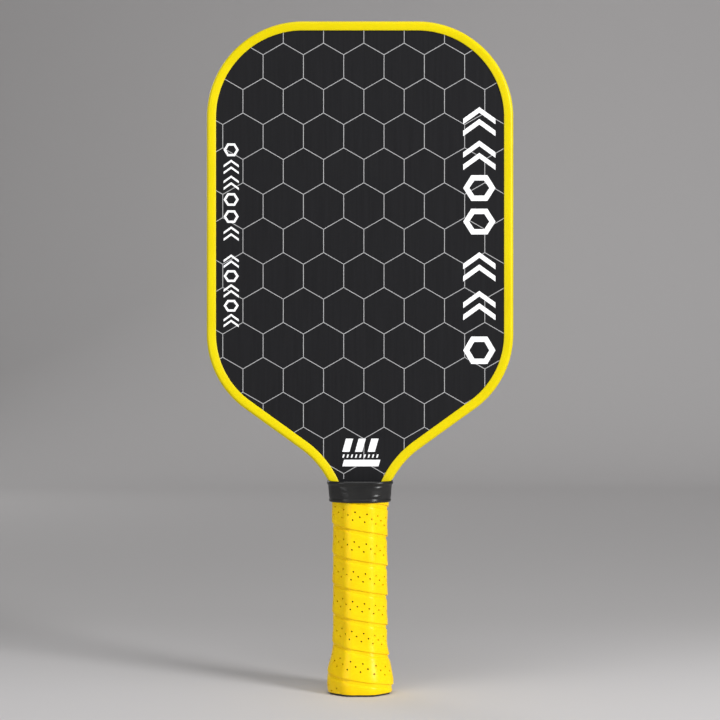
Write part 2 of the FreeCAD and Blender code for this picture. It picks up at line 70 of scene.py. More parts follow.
def linear(hexColour):
    # sRGB hex to the linear colour that shaders take
    channels = [int(hexColour[i:i + 2], 16) / 255 for i in (1, 3, 5)]
    return [c / 12.92 if c <= 0.04045 else ((c + 0.055) / 1.055) ** 2.4 for c in channels] + [1.0]


def addNode(tree, kind, inputs=None, **settings):
    node = tree.nodes.new(kind)
    for name, setting in settings.items():
        setattr(node, name, setting)
    for key, given in (inputs or {}).items():
        if isinstance(given, bpy.types.NodeSocket):
            tree.links.new(given, node.inputs[key])
        else:
            node.inputs[key].default_value = given
    return node


def newObject(name, points, faces, material=None, smoothAngle=40):
    # points in millimetres, faces as tuples of point numbers
    mesh = bpy.data.meshes.new(name)
    mesh.from_pydata([Vector(point) * mm for point in points], [], faces)
    mesh.validate()
    return addMesh(name, mesh, material, smoothAngle)


def addMesh(name, mesh, material=None, smoothAngle=40):
    tidy = bmesh.new()
    tidy.from_mesh(mesh)
    bmesh.ops.remove_doubles(tidy, verts=tidy.verts, dist=0.002 * mm)
    bmesh.ops.recalc_face_normals(tidy, faces=tidy.faces)
    tidy.to_mesh(mesh)
    tidy.free()
    mesh.shade_smooth()
    mesh.set_sharp_from_angle(angle=math.radians(smoothAngle))
    if material:
        mesh.materials.clear()
        mesh.materials.append(material)
    item = bpy.data.objects.new(name, mesh)
    scene.collection.objects.link(item)
    return item


def loft(name, rings, material, smoothAngle=40):
    # skins a closed chain of rings that all have the same number of points
    count = len(rings[0])
    points = [point for ring in rings for point in ring]
    faces = []
    for level in range(len(rings)):
        low, high = level * count, (level + 1) % len(rings) * count
        for i in range(count):
            j = (i + 1) % count
            faces.append((low + i, low + j, high + j, high + i))
    return newObject(name, points, faces, material, smoothAngle)


def smoothStep(x, low, high):
    t = min(max((x - low) / (high - low), 0.0), 1.0)
    return t * t * (3 - 2 * t)


def newTree(name, sockets):
    # a Geometry Nodes tree with a geometry input and output and the named inputs
    tree = bpy.data.node_groups.new(name, "GeometryNodeTree")
    tree.interface.new_socket(name="Geometry", in_out="OUTPUT", socket_type="NodeSocketGeometry")
    tree.interface.new_socket(name="Geometry", in_out="INPUT", socket_type="NodeSocketGeometry")
    for socketName, kind in sockets.items():
        tree.interface.new_socket(name=socketName, in_out="INPUT", socket_type=f"NodeSocket{kind}")
    given = tree.nodes.new("NodeGroupInput").outputs
    return tree, given


def endTree(tree, geometry, material):
    real = addNode(tree, "GeometryNodeRealizeInstances", {"Geometry": geometry})
    painted = addNode(tree, "GeometryNodeSetMaterial", {"Geometry": real.outputs[0], "Material": material})
    addNode(tree, "NodeGroupOutput", {0: painted.outputs[0]})


def grow(name, base, tree, values, material, smoothAngle=40):
    # runs the tree on the base object, keeps the result as a plain mesh and drops the base
    modifier = base.modifiers.new("grow", "NODES")
    modifier.node_group = tree
    for item in tree.interface.items_tree:
        if item.in_out == "INPUT" and item.name in values:
            modifier[item.identifier] = values[item.name]
    depsgraph = bpy.context.evaluated_depsgraph_get()
    mesh = bpy.data.meshes.new_from_object(base.evaluated_get(depsgraph), depsgraph=depsgraph)
    base.modifiers.remove(modifier)
    bpy.data.objects.remove(base)
    mesh.name = name
    return addMesh(name, mesh, material, smoothAngle)


def newMaterial(name, hexColour, roughness, **shader):
    material = bpy.data.materials.new(name)
    material.use_nodes = True
    tree = material.node_tree
    surface = tree.nodes["Principled BSDF"]
    surface.inputs["Base Color"].default_value = linear(hexColour)
    surface.inputs["Roughness"].default_value = roughness
    for socket, setting in shader.items():
        surface.inputs[socket.replace("_", " ")].default_value = setting
    place = addNode(tree, "ShaderNodeTexCoord").outputs["Object"]
    return material, tree, surface, place


def blotches(tree, place, size, detail=3.0, stretch=(1, 1, 1)):
    # an uneven pattern whose blotches are about size millimetres across
    at = addNode(tree, "ShaderNodeMapping", {"Vector": place, "Scale": stretch})
    return addNode(tree, "ShaderNodeTexNoise", {"Vector": at.outputs[0], "Scale": 1 / (size * mm),
                                                "Detail": detail}).outputs["Fac"]


def mottle(tree, surface, factor, darkHex, lightHex, low=0.35, high=0.65):
    # the base colour wanders between two near shades
    ramp = addNode(tree, "ShaderNodeValToRGB", {"Fac": factor})
    for stop, at, tone in zip(ramp.color_ramp.elements, (low, high), (darkHex, lightHex)):
        stop.position = at
        stop.color = linear(tone)
    tree.links.new(ramp.outputs["Color"], surface.inputs["Base Color"])


def varyRoughness(tree, surface, factor, low, high):
    spread = addNode(tree, "ShaderNodeMapRange", {"Value": factor, "To Min": low, "To Max": high})
    tree.links.new(spread.outputs["Result"], surface.inputs["Roughness"])


def emboss(tree, surface, layers):
    # layers of (height field, depth in millimetres), each bumping on the one before
    last = None
    for height, depth in layers:
        inputs = {"Height": height, "Strength": 1.0, "Distance": depth * mm}
        if last:
            inputs["Normal"] = last
        last = addNode(tree, "ShaderNodeBump", inputs).outputs["Normal"]
    tree.links.new(last, surface.inputs["Normal"])


def carbonPeelPly():
    # Raw carbon laminate cured against peel ply: near black, dead matt, with a fine cloth-like
    # grit and faint streaks along the fibres.
    material, tree, surface, place = newMaterial("carbonPeelPly", "#1A1A1C", 0.62, IOR=1.5,
                                                 Specular_IOR_Level=0.1)
    streak = blotches(tree, place, 1.6, 2.0, (1, 1, 0.04))
    mottle(tree, surface, streak, "#18181A", "#1C1C1E", 0.3, 0.7)
    grit = blotches(tree, place, 0.35, 2.0)            # the peel ply's threads lie 0.35 mm apart
    clouds = blotches(tree, place, 40.0, 2.0)
    varyRoughness(tree, surface, clouds, 0.56, 0.68)
    emboss(tree, surface, [(grit, 0.05)])
    return material


def guardPolyurethane():
    # Extruded thermoplastic polyurethane: even warm yellow, smooth with a soft broad gloss, and a
    # little light let into the skin.
    material, tree, surface, place = newMaterial("guardPolyurethane", "#D9C600", 0.34, IOR=1.5,
                                                 Subsurface_Weight=0.05, Subsurface_Scale=0.001,
                                                 Specular_IOR_Level=0.16)
    clouds = blotches(tree, place, 25.0, 2.0)
    mottle(tree, surface, clouds, "#D6C300", "#DCC902")
    grain = blotches(tree, place, 0.6, 3.0)
    varyRoughness(tree, surface, clouds, 0.30, 0.38)
    emboss(tree, surface, [(grain, 0.008)])
    return material


def gripPolyurethane():
    # Coated polyurethane grip over felt: saturated yellow, tacky satin with a leather-like grain
    # and colour that wanders a little in broad patches.
    material, tree, surface, place = newMaterial("gripPolyurethane", "#F7CE00", 0.36, IOR=1.48,
                                                 Subsurface_Weight=0.06, Subsurface_Scale=0.001,
                                                 Specular_IOR_Level=0.18)
    clouds = blotches(tree, place, 14.0, 3.0)
    mottle(tree, surface, clouds, "#F4CA00", "#F9D202")
    cells = addNode(tree, "ShaderNodeTexVoronoi", {"Vector": place, "Scale": 1 / (0.7 * mm)},
                    feature="SMOOTH_F1").outputs["Distance"]
    pulled = blotches(tree, place, 6.0, 2.0, (1, 1, 3))  # slight unevenness from being pulled tight
    varyRoughness(tree, surface, clouds, 0.32, 0.42)
    emboss(tree, surface, [(pulled, 0.12), (cells, 0.012)])
    return material


def collarRubber():
    # Moulded black rubber stretched over the handle: dark grey with a soft sheen and dust-dulled
    # patches.
    material, tree, surface, place = newMaterial("collarRubber", "#0A0A0A", 0.36, IOR=1.52,
                                                 Specular_IOR_Level=0.45)
    clouds = blotches(tree, place, 7.0, 3.0)
    mottle(tree, surface, clouds, "#0B0B0B", "#10100F")
    varyRoughness(tree, surface, clouds, 0.32, 0.42)
    pulled = blotches(tree, place, 6.0, 2.0, (1, 1, 2.5))
    emboss(tree, surface, [(pulled, 0.2), (blotches(tree, place, 0.4), 0.006)])
    return material


def mouldedAbs(name, hexColour, deepHex, roughness):
    # Injection-moulded ABS with a light spark-eroded texture that breaks up its highlights.
    material, tree, surface, place = newMaterial(name, hexColour, roughness, IOR=1.53)
    clouds = blotches(tree, place, 9.0, 3.0)
    mottle(tree, surface, clouds, deepHex, hexColour)
    varyRoughness(tree, surface, clouds, roughness - 0.05, roughness + 0.07)
    emboss(tree, surface, [(blotches(tree, place, 0.3), 0.02)])
    return material


def screenInk(name, hexColour, thinHex):
    # Screen-printed ink: opaque and flat, a little thin where the face's grit stands up.
    material, tree, surface, place = newMaterial(name, hexColour, 0.5, IOR=1.5)
    grit = blotches(tree, place, 0.35, 2.0)
    mottle(tree, surface, grit, thinHex, hexColour, 0.25, 0.5)
    emboss(tree, surface, [(grit, 0.02)])
    return material


def cellPolypropylene():
    # Extruded polypropylene honeycomb: milky, slightly see-through walls with a waxy gloss.
    material, tree, surface, place = newMaterial("cellPolypropylene", "#DEDED6", 0.35, IOR=1.49,
                                                 Subsurface_Weight=0.3, Subsurface_Scale=0.001)
    mottle(tree, surface, blotches(tree, place, 20.0), "#D6D6CC", "#E6E6E0")
    emboss(tree, surface, [(blotches(tree, place, 1.5, 2.0, (1, 0.1, 1)), 0.03)])
    return material


def rimFoam(name, paleHex, deepHex):
    # Closed-cell foam: matt, with a skin of burst bubbles.
    material, tree, surface, place = newMaterial(name, paleHex, 0.85, IOR=1.45)
    bubbles = addNode(tree, "ShaderNodeTexVoronoi", {
        "Vector": place, "Scale": 1 / (0.5 * mm)}).outputs["Distance"]
    mottle(tree, surface, bubbles, deepHex, paleHex, 0.2, 0.6)
    emboss(tree, surface, [(bubbles, 0.08)])
    return material


def clothTape():
    # Cloth-backed tape: black and satin, with the weave's threads 0.5 mm apart.
    material, tree, surface, place = newMaterial("clothTape", "#1C1C1D", 0.55, IOR=1.5)
    waveLength = 0.31        # of the wave pattern at scale 1
    around = addNode(tree, "ShaderNodeTexWave", {"Vector": place, "Scale": waveLength / (0.5 * mm)},
                     bands_direction="Z").outputs["Fac"]
    mottle(tree, surface, around, "#181819", "#222224", 0.2, 0.8)
    emboss(tree, surface, [(around, 0.04)])
    return material


def galvanisedWire():
    # Galvanised steel wire: bright grey metal, finely drawn along its length.
    material, tree, surface, place = newMaterial("galvanisedWire", "#B4B6B8", 0.32, Metallic=1.0)
    drawn = blotches(tree, place, 0.4, 2.0, (0.1, 1, 1))
    mottle(tree, surface, drawn, "#A8AAAD", "#C0C2C4")
    varyRoughness(tree, surface, drawn, 0.26, 0.4)
    emboss(tree, surface, [(drawn, 0.01)])
    return material


carbon = carbonPeelPly()
guardYellow = guardPolyurethane()
gripYellow = gripPolyurethane()
rubber = collarRubber()
capBlack = mouldedAbs("capAbs", "#111112", "#0C0C0D", 0.42)
palletGrey = mouldedAbs("palletAbs", "#3B3B3D", "#333335", 0.6)
badgeGrey = mouldedAbs("badgeLabel", "#7C7E82", "#747679", 0.3)
greyInk = screenInk("greyInk", "#A9A9AA", "#9A9A9B")
whiteInk = screenInk("whiteInk", "#F6F6F7", "#EEEEF0")
coreWhite = cellPolypropylene()
foamCream = rimFoam("edgeFoam", "#E6E2D4", "#D2CDBB")
# The felt's colour is partly its own brown and partly painted shade, darkened so that the grip's holes read
# dark.
feltPaintedShade = rimFoam("gripFeltPaintedShade", "#47300F", "#2E1E08")
tapeBlack = clothTape()
wireSteel = galvanisedWire()
print("stage: materials made")


def outlineHalf(inset, lowest, step=2.0):
    # the right half from the top's middle down to the height lowest, as (x, z) in millimetres
    corner, shoulder = outline["cornerRadius"] - inset, outline["shoulderRadius"] - inset
    throat, wide = outline["throatRadius"] + inset, outline["halfWidth"] - inset
    cornerX, cornerZ = wide - corner, outline["top"] - outline["cornerRadius"]
    shoulderX, shoulderZ = wide - shoulder, outline["shoulderHeight"]
    throatX, throatZ = outline["throatHalf"] - inset + throat, outline["throatHeight"]
    across, down = throatX - shoulderX, shoulderZ - throatZ
    lean = math.acos((shoulder + throat) / math.hypot(across, down)) - math.atan2(down, across)
    lastAngle = math.pi - math.asin((lowest - throatZ) / throat)

    def arc(x, z, radius, start, end):
        count = max(2, round(abs(end - start) * radius / step))
        angles = [start + (end - start) * i / count for i in range(count + 1)]
        return [(x + radius * math.cos(a), z + radius * math.sin(a)) for a in angles]

    points = [(0.0, outline["top"] - inset)]
    points += arc(cornerX, cornerZ, corner, math.pi / 2, 0)
    points += arc(shoulderX, shoulderZ, shoulder, 0, lean)
    points += arc(throatX, throatZ, throat, math.pi + lean, lastAngle)
    return points


def outlineWhole(inset, lowest, step=2.0):
    right = outlineHalf(inset, lowest, step)
    return right[::-1] + [(-x, z) for x, z in right[1:]]


# The edge guard is one C section swept round the outline.
guard = {
    "reach": 6.2,          # from the outside to the lip's edge
    "web": 1.4,
    "outerRound": 2.3,
    "crown": 0.35,         # how far the side bulges between its two rounds
    "lipDrop": 0.5,        # the lip thins towards its edge
    "lipCurl": 1.4,        # and the more so, the nearer to it
    "lipBevel": 0.1,
    "lipRound": 0.35,
    "lipGap": 0.03,        # between lip and face
    "end": 126.3,
    "tailTop": 132.9,
    "tailHalf": 18.85,
}


def guardProfile():
    # half of the section as (depth, inwards) from the web's middle to the lip, then mirrored
    r, bulge = guard["outerRound"], guard["crown"]
    deep, reach = guardDepth, guard["reach"]
    outside = [(bulge * (z / (deep - r)) ** 2, z) for z in numpy.linspace(0, deep - r, 5)]
    turns = [math.radians(a) for a in range(12, 91, 13)]
    outside += [(bulge + (r - bulge) * (1 - math.cos(a)), deep - r + r * math.sin(a)) for a in turns]
    edge, lip = guard["lipRound"], deep - guard["lipDrop"]
    outside += [(r + bulge + (reach - r - bulge) * t, deep - guard["lipDrop"] * t ** guard["lipCurl"])
                for t in (0.2, 0.4, 0.6, 0.8)]
    outside += [(reach - edge + edge * math.sin(a), lip - edge + edge * math.cos(a))
                for a in (math.radians(d) for d in (0, 30, 60, 90))]
    under, bevel = faceDepth + guard["lipGap"], guard["lipBevel"]
    half = outside + [(reach, under + bevel), (reach - bevel, under), (guard["web"], under)]
    return [(y, x) for x, y in half] + [(-y, x) for x, y in half[::-1][:-1]]


def curveObject(name, points, cyclic):
    curve = bpy.data.curves.new(name, "CURVE")
    curve.dimensions = "3D"
    spline = curve.splines.new("POLY")
    spline.points.add(len(points) - 1)
    for point, place in zip(spline.points, points):
        point.co = (*(Vector(place) * mm), 1.0)
    spline.use_cyclic_u = cyclic
    item = bpy.data.objects.new(name, curve)
    scene.collection.objects.link(item)
    return item


def sweepTree():
    tree, given = newTree("sweepSection", {"Section": "Object", "Facing": "Vector", "Material": "Material"})
    section = addNode(tree, "GeometryNodeObjectInfo", {"Object": given["Section"]})
    path = addNode(tree, "GeometryNodeSetCurveNormal", {"Curve": given["Geometry"],
                                                        "Normal": given["Facing"]}, mode="FREE")
    swept = addNode(tree, "GeometryNodeCurveToMesh", {"Curve": path.outputs[0], "Fill Caps": True,
                                                      "Profile Curve": section.outputs["Geometry"]})
    endTree(tree, swept.outputs[0], given["Material"])
    return tree


def makeGuard():
    section = curveObject("guardSection", [(depth, inwards, 0) for depth, inwards in guardProfile()], True)
    path = curveObject("guardPath", [(x, 0, z) for x, z in outlineWhole(0, guard["end"])], False)
    item = grow("edge_guard_moulding", path, sweepTree(),
                {"Section": section, "Facing": (0, 1, 0), "Material": guardYellow}, guardYellow, 35)
    bpy.data.objects.remove(section)
    for vertex in item.data.vertices:        # the two tails are slimmed to pass inside the collar
        if vertex.co.z < guard["tailTop"] * mm and abs(vertex.co.x) > guard["tailHalf"] * mm:
            vertex.co.x = math.copysign(guard["tailHalf"] * mm, vertex.co.x)
    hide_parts("edge_guard")
    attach(item, "paddle")


makeGuard()
print("stage: edge guard swept")


# The hexagon print is a Y of three lines, laid on every second corner of the pattern.
hexPrint = {
    "pitch": 25.0,         # across flats
    "line": 0.42,
    "lineX": 2.4,          # the middle of one upright line
    "lineZ": 367.9,
    "lineRow": 8,          # that line's row, counted up from the pattern's middle
    "columns": 12,
    "rows": 28,
    "ink": 0.02,
    "inset": 3.6,          # the lines end here, under the guard's lip
    "lowest": 133.2,
    "borderStep": 4.0,
    "cuts": 9,             # pieces along each line, so that it can end cleanly
}


def hexTile():
    side, width, cuts = hexPrint["pitch"] / math.sqrt(3), hexPrint["line"], hexPrint["cuts"]
    points, faces = [], []
    for turn in (-90, 30, 150):
        along = Vector((math.cos(math.radians(turn)), 0, math.sin(math.radians(turn))))
        across = Vector((-along.z, 0, along.x)) * width / 2
        start, first = width / (2 * math.sqrt(3)), len(points)
        stops = [start + (side - 2 * start) * i / cuts for i in range(cuts + 1)]
        points += [along * stop + across * hand for stop in stops for hand in (1, -1)]
        last = first + 2 * cuts
        faces += [(i, i + 2, i + 3, i + 1) for i in range(first, last, 2)]
        points += [Vector((0, 0, 0)), along * side]
        faces += [(last + 2, first, first + 1), (last + 3, last + 1, last)]
    return newObject("hexTile", points, faces)


def latticeTree():
    tree, given = newTree("hexLines", {"Tile": "Object", "Pitch": "Float", "Start": "Vector",
                                       "Lift": "Float", "Face": "Vector", "Material": "Material"})
    columns, rows = hexPrint["columns"], hexPrint["rows"]
    rowPitch = addNode(tree, "ShaderNodeMath", {0: given["Pitch"], 1: math.sqrt(3) / 2},
                       operation="MULTIPLY")
    wide = addNode(tree, "ShaderNodeMath", {0: given["Pitch"], 1: columns}, operation="MULTIPLY")
    high = addNode(tree, "ShaderNodeMath", {0: rowPitch.outputs[0], 1: rows}, operation="MULTIPLY")
    grid = addNode(tree, "GeometryNodeMeshGrid", {"Size X": wide.outputs[0], "Size Y": high.outputs[0],
                                                  "Vertices X": columns + 1, "Vertices Y": rows + 1})
    position = addNode(tree, "GeometryNodeInputPosition").outputs[0]
    place = addNode(tree, "ShaderNodeSeparateXYZ", {0: position})
    row = addNode(tree, "ShaderNodeMath", {0: place.outputs["Y"], 1: rowPitch.outputs[0]},
                  operation="DIVIDE")
    whole = addNode(tree, "ShaderNodeMath", {0: row.outputs[0]}, operation="ROUND")
    odd = addNode(tree, "ShaderNodeMath", {0: whole.outputs[0], 1: 2.0}, operation="FLOORED_MODULO")
    half = addNode(tree, "ShaderNodeMath", {0: given["Pitch"], 1: 0.5}, operation="MULTIPLY")
    shift = addNode(tree, "ShaderNodeMath", {0: odd.outputs[0], 1: half.outputs[0], 2: place.outputs["X"]},
                    operation="MULTIPLY_ADD")
    upright = addNode(tree, "ShaderNodeCombineXYZ", {"X": shift.outputs[0], "Z": place.outputs["Y"]})
    moved = addNode(tree, "ShaderNodeVectorMath", {0: upright.outputs[0], 1: given["Start"]},
                    operation="ADD")
    lattice = addNode(tree, "GeometryNodeSetPosition", {"Geometry": grid.outputs["Mesh"],
                                                        "Position": moved.outputs[0]})
    tile = addNode(tree, "GeometryNodeObjectInfo", {"Object": given["Tile"]})
    laid = addNode(tree, "GeometryNodeInstanceOnPoints", {"Points": lattice.outputs[0],
                                                          "Instance": tile.outputs["Geometry"]})
    lines = addNode(tree, "GeometryNodeRealizeInstances", {"Geometry": laid.outputs[0]})
    probe = 10 * mm          # a ray starts this far in front, and a line's piece stays where it hits
    above = addNode(tree, "ShaderNodeVectorMath", {0: position, 1: (0, -probe, 0)}, operation="ADD")
    ray = addNode(tree, "GeometryNodeRaycast", {
        "Target Geometry": given["Geometry"], "Source Position": above.outputs[0],
        "Ray Direction": (0, 1, 0), "Ray Length": 2 * probe})
    missed = addNode(tree, "FunctionNodeBooleanMath", {0: ray.outputs["Is Hit"]}, operation="NOT")
    welded = addNode(tree, "GeometryNodeMergeByDistance", {"Geometry": lines.outputs[0],
                                                           "Distance": weldGap})
    kept = addNode(tree, "GeometryNodeDeleteGeometry", {"Geometry": welded.outputs[0],
                                                        "Selection": missed.outputs[0]}, domain="FACE")
    raised = addNode(tree, "GeometryNodeExtrudeMesh", {"Mesh": kept.outputs[0], "Offset": (0, 1, 0),
                                                       "Offset Scale": given["Lift"], "Individual": False})
    under = addNode(tree, "GeometryNodeFlipFaces", {"Mesh": kept.outputs[0]})
    both = addNode(tree, "GeometryNodeJoinGeometry", {"Geometry": under.outputs[0]})
    tree.links.new(raised.outputs["Mesh"], both.inputs["Geometry"])
    placed = addNode(tree, "GeometryNodeTransform", {"Geometry": both.outputs[0],
                                                     "Translation": given["Face"]})
    endTree(tree, placed.outputs[0], given["Material"])
    return tree


def makeHexPrint(name, side, tree, tile):
    # side is -1 for the front face and 1 for the rear
    border = outlineWhole(hexPrint["inset"], hexPrint["lowest"], hexPrint["borderStep"])
    area = newObject("printArea", [(x, 0, z) for x, z in border], [tuple(range(len(border)))])
    pitch = hexPrint["pitch"]
    corner = hexPrint["lineZ"] + pitch / math.sqrt(3) / 2
    start = (hexPrint["lineX"] * -side * mm, 0,
             (corner - hexPrint["lineRow"] * pitch * math.sqrt(3) / 2) * mm)
    item = grow(name, area, tree, {"Tile": tile, "Pitch": pitch * mm, "Start": start,
                                   "Lift": hexPrint["ink"] * side * mm,
                                   "Face": (0, faceDepth * side * mm, 0), "Material": greyInk}, greyInk, 30)
    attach(item, "paddle")


hexagonTile = hexTile()
hexagonTree = latticeTree()
makeHexPrint("front_hex_print", -1, hexagonTree, hexagonTile)
makeHexPrint("rear_hex_print", 1, hexagonTree, hexagonTile)
bpy.data.objects.remove(hexagonTile)
print("stage: hexagon print laid")


# The white print is plain shapes that stand where the maker's graphics would be.
whitePrint = {
    "ink": 0.035,
    "raise": 0.7,          # moves every mark up by this much
    "chevronThick": 0.9,   # height of a chevron's arm, in strokes
    "chevronDrop": 0.36,   # how far its ends hang, in widths
    "rightX": (64.0, 84.0),
    "rightStroke": 3.8,
    "rightMarks": [("chevron", 363.6, 345.6), ("chevron", 342.8, 324.6), ("ring", 322.6, 304.2),
                   ("ring", 301.8, 283.4), ("chevron", 273.6, 255.4), ("chevron", 249.6, 231.4),
                   ("ring", 222.6, 203.0)],
    "leftX": (-84.6, -75.2),
    "leftStroke": 1.6,
    "leftMarks": [("ring", 341.7, 332.5), ("chevron", 331.0, 322.0), ("chevron", 321.2, 312.2),
                  ("ring", 310.8, 301.8), ("ring", 300.2, 291.2), ("chevron", 289.6, 280.6),
                  ("chevron", 272.2, 263.8), ("ring", 263.0, 254.6), ("chevron", 253.8, 245.4),
                  ("ring", 244.6, 236.2), ("chevron", 235.4, 227.0)],
    "badgeX": (-11.0, 12.6),
    "badgeRows": [(158.0, 149.8, 3), (148.2, 146.2, 9), (144.9, 140.8, 1)],   # top, bottom, slabs
    "badgeGap": 1.1,
    "badgeSlant": 0.28,
}


def chevron(left, right, top, thick, drop):
    middle = (left + right) / 2
    return [(left, top - drop), (middle, top), (right, top - drop), (right, top - drop - thick),
            (middle, top - thick), (left, top - drop - thick)]


def doubleChevron(left, right, top, bottom, stroke):
    # two nested chevrons that fill the height between top and bottom
    thick, drop = stroke * whitePrint["chevronThick"], whitePrint["chevronDrop"] * (right - left)
    return [chevron(left, right, peak, thick, drop) for peak in (top, bottom + thick + drop)]


def hexRing(left, right, top, bottom, stroke):
    middle, centre = (left + right) / 2, (top + bottom) / 2
    loops = []
    for shrink in (0, stroke):
        wide, high = (right - left) / 2 - shrink, (top - bottom) / 2 - shrink
        loops.append([(middle + wide * math.cos(math.radians(a)), centre + high * math.sin(math.radians(a)))
                      for a in range(0, 360, 60)])
    return loops


def inkMesh(name, shapes, side, material):
    # each shape is one loop, or an outer loop and an inner one, printed as a thin raised slab
    points, faces = [], []
    low, high = faceDepth * side, (faceDepth + whitePrint["ink"]) * side
    for loops in shapes:
        starts, count = [], len(loops[0])
        for loop in loops:
            starts.append(len(points))
            points += [(x * -side, y, z + whitePrint["raise"]) for y in (low, high) for x, z in loop]
        ring = [(i, (i + 1) % count) for i in range(count)]
        for start in starts:
            faces += [(start + i, start + j, start + count + j, start + count + i) for i, j in ring]
        for level in (0, count):
            if len(loops) == 1:
                faces.append(tuple(starts[0] + level + i for i in range(count)))
            else:
                outer, inner = starts[0] + level, starts[1] + level
                faces += [(outer + i, outer + j, inner + j, inner + i) for i, j in ring]
    item = newObject(name, points, faces, material, 30)
    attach(item, "paddle")


def columnShapes(marks, across, stroke):
    shapes = []
    for kind, top, bottom in marks:
        if kind == "ring":
            shapes.append(hexRing(*across, top, bottom, stroke))
        else:
            shapes += [[loop] for loop in doubleChevron(*across, top, bottom, stroke)]
    return shapes


def badgeShapes():
    left, right = whitePrint["badgeX"]
    gap, shapes = whitePrint["badgeGap"], []
    for top, bottom, slabs in whitePrint["badgeRows"]:
        width, lean = (right - left) / slabs, whitePrint["badgeSlant"] * (top - bottom)
        for i in range(slabs):
            low, high = left + width * i, left + width * (i + 1) - (gap if slabs > 1 else 0) - lean
            shapes.append([[(low, bottom), (high, bottom), (high + lean, top), (low + lean, top)]])
    return shapes


rightColumn = columnShapes(whitePrint["rightMarks"], whitePrint["rightX"], whitePrint["rightStroke"])
leftColumn = columnShapes(whitePrint["leftMarks"], whitePrint["leftX"], whitePrint["leftStroke"])
inkMesh("front_right_marks", rightColumn, -1, whiteInk)
inkMesh("front_left_marks", leftColumn, -1, whiteInk)
inkMesh("front_throat_badge", badgeShapes(), -1, whiteInk)
inkMesh("rear_marks", rightColumn, 1, whiteInk)
print("stage: white marks printed")


def octagonCore(halfWidth, halfDepth, chamfer, cornerRound):
    # the eight centres of the corner arcs, from the front's right end, with each arc's first angle
    inner = chamfer - (2 - math.sqrt(2)) * cornerRound
    w, d = halfWidth - cornerRound, halfDepth - cornerRound
    a, b = w - inner, d - inner
    corners = [(a, -d), (w, -b), (w, b), (a, d), (-a, d), (-w, b), (-w, -b), (-a, -d)]
    return [(x, y, -90 + 45 * i) for i, (x, y) in enumerate(corners)]


def octagonRing(z, halfWidth, halfDepth, chamfer, cornerRound, steps=5):
    ring = []
    for x, y, first in octagonCore(halfWidth, halfDepth, chamfer, cornerRound):
        for i in range(steps + 1):
            angle = math.radians(first + 45 * i / steps)
            ring.append((x + cornerRound * math.cos(angle), y + cornerRound * math.sin(angle), z))
    return ring


def handleRing(z, growth):
    # the handle's octagon pushed outwards by growth millimetres
    return octagonRing(z, handle["halfWidth"] + growth, handle["halfDepth"] + growth,
                       handle["chamfer"] + (2 - math.sqrt(2)) * growth, handle["cornerRound"] + growth)


# The grip is a punched strip wound up the handle, each turn lapping over the one below.
grip = {
    "low": 1.3,
    "high": 123.6,
    "pitch": 18.5,         # height of one turn
    "grooveHeight": 8.5,   # middle of the lowest groove on the front
    "turns": 8.3,
    "patternsPerTurn": 14.07,
    "plainPatterns": 15,   # the lowest turn has no holes
    "thick": 0.87,
    "growth": ((1.3, 1.85), (104, 1.85), (108, 2.1), (114, 2.45), (118, 2.45), (124, 2.45)),
    "flare": 3.6,          # how much the butt stands out, and between which heights
    "flareFrom": 8.0,
    "flareTo": 32.0,
    "rollFrom": 6.0,       # the butt's edge rolls in below this
    "rollHeight": 4.8,
    "rollIn": 1.0,
    "slip": 0.9,           # the lap closes up by this much on the handle's left side
    "smoothAngle": 42,
}

strip = {
    "length": 7.5,         # one pattern along the strip
    "width": 21.2,
    "lapLift": 0.45,       # the lower edge rides up on the turn below
    "lapEase": (0.6, 9.0),  # and comes down again between these
    "edgeDrop": 0.22,      # the lower edge is rounded off
    "edgeWidth": 0.5,
    "lapWidth": 3.9,
    "lapUnder": -0.5,
    "lapStep": 0.6,
    "lipStart": 13.9,
    "lipEnd": 16.2,
    "lipCurl": 2.4,
    "flangeDrop": 0.58,    # the part that the next turn covers
    "slipAcross": (9.0, 15.0),
    "holeRadius": 0.54,
    "holeSides": 12,
    "holeStep": (3.0, 2.55),
    "holeMiddle": 8.4,
}


def gripGrowth(z):
    heights, growths = zip(*grip["growth"])
    growth = numpy.interp(z, heights, growths)
    growth += grip["flare"] * smoothStep(grip["flareTo"] - z, 0, grip["flareTo"] - grip["flareFrom"])
    if z < grip["rollFrom"]:
        fall = (grip["rollFrom"] - z) / grip["rollHeight"]
        growth -= grip["rollIn"] * (1 - math.sqrt(max(0.0, 1 - fall ** 2)))
    return growth


def stripOuter(v):
    # how far the strip's outer skin stands off, across the strip from its lower edge
    lift = strip["lapLift"] * (1 - smoothStep(v, *strip["lapEase"]))
    lift -= strip["edgeDrop"] * max(0.0, 1 - v / strip["edgeWidth"]) ** 2
    fall = (v - strip["lipStart"]) / (strip["lipEnd"] - strip["lipStart"])
    if fall <= 0:
        return lift
    return lift - strip["flangeDrop"] * (1 - math.sqrt(max(0.0, 1 - min(fall, 1.0) ** strip["lipCurl"])))


def stripInner(v):
    full = smoothStep(v, strip["lapWidth"], strip["lapWidth"] + strip["lapStep"])
    return strip["lapUnder"] + (-grip["thick"] - strip["lapUnder"]) * full


